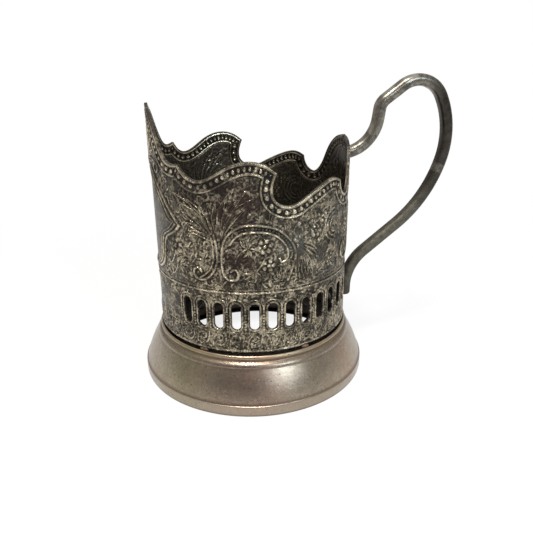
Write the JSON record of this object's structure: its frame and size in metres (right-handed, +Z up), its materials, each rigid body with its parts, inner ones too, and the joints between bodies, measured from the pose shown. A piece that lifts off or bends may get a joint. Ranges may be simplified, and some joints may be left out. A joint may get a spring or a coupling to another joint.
{
  "type": "tea glass holder",
  "caption": "Embossed metal tea glass holder with a scalloped open sleeve, a pierced arcade of slots, a flared spun foot and a bent rod handle.",
  "frame": {"origin": "centre of the foot ring on the table plane, on the axis of the glass", "axes": "+Z up along the axis of the glass, +X towards the handle, +Y completes a right-handed frame"},
  "size_m": [0.1168, 0.083, 0.1045],
  "materials": {
    "sleeve_metal": "silver plate over brass, blackened in the recesses and worn bright on the relief",
    "base_metal": "satin tarnished silver plate over brass",
    "handle_metal": "dull tarnished silver plate over brass",
    "solder": "dull grey soft solder with brown stains"
  },
  "bodies": {
    "root": {"sleeve": "sleeve_metal", "sleeve_seam_solder": "solder", "base": "base_metal", "base_solder_spots": "solder", "handle": "handle_metal", "handle_solder_upper": "solder", "handle_solder_lower": "solder"}
  },
  "joints": []
}
